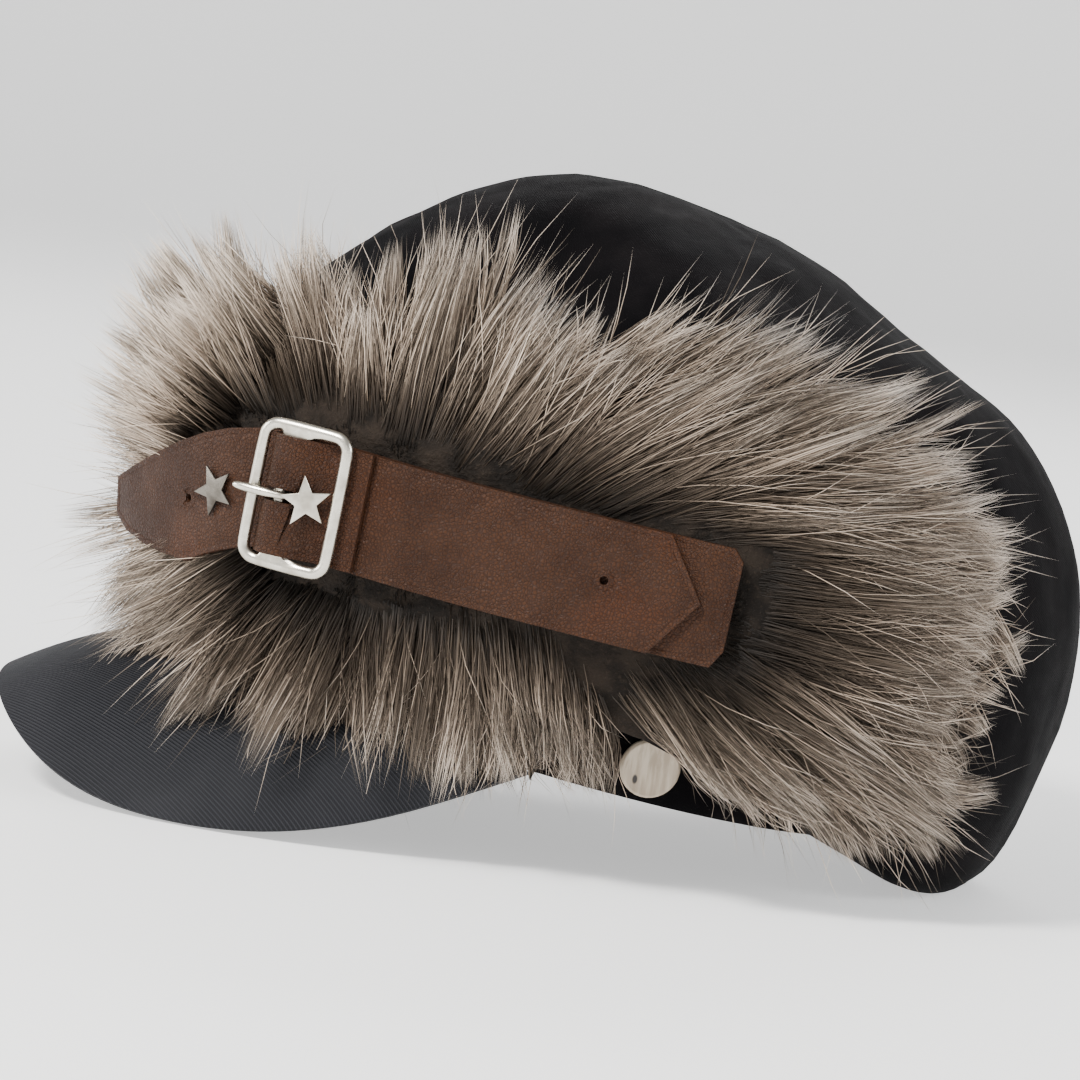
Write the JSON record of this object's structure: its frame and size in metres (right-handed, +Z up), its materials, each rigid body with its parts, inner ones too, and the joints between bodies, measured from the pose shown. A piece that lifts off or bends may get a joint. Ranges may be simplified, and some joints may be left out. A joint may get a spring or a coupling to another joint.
{
  "type": "fur-trimmed casquette cap",
  "caption": "Floppy black cloth casquette cap with a stiff curved peak, a wide shaggy fur trim, and a buckled leather belt with star studs along its left side.",
  "frame": {"origin": "middle of the cap's footprint, on the surface it rests on", "axes": "+Z up; -X towards the front (the peak); -Y towards the wearer's left side, where the belt is"},
  "size_m": [0.3268, 0.2782, 0.201],
  "materials": {
    "black_cloth": "matte black cloth",
    "band_cloth": "black ribbon",
    "peak_cloth": "stiff charcoal twill",
    "fur": "long brown hair with cream tips",
    "brown_leather": "pebble grain, satin",
    "pale_nickel": "worn pale nickel",
    "bone_button": "cream, satin"
  },
  "bodies": {
    "root": {"crown": "black_cloth", "head_band": "band_cloth", "peak": "peak_cloth", "fur_trim": "fur", "belt_lower": "brown_leather", "belt_upper": "brown_leather", "buckle_frame": "pale_nickel", "buckle_prong": "pale_nickel", "star_stud_buckle": "pale_nickel", "star_stud_tip": "pale_nickel", "side_button": "bone_button"}
  },
  "joints": []
}
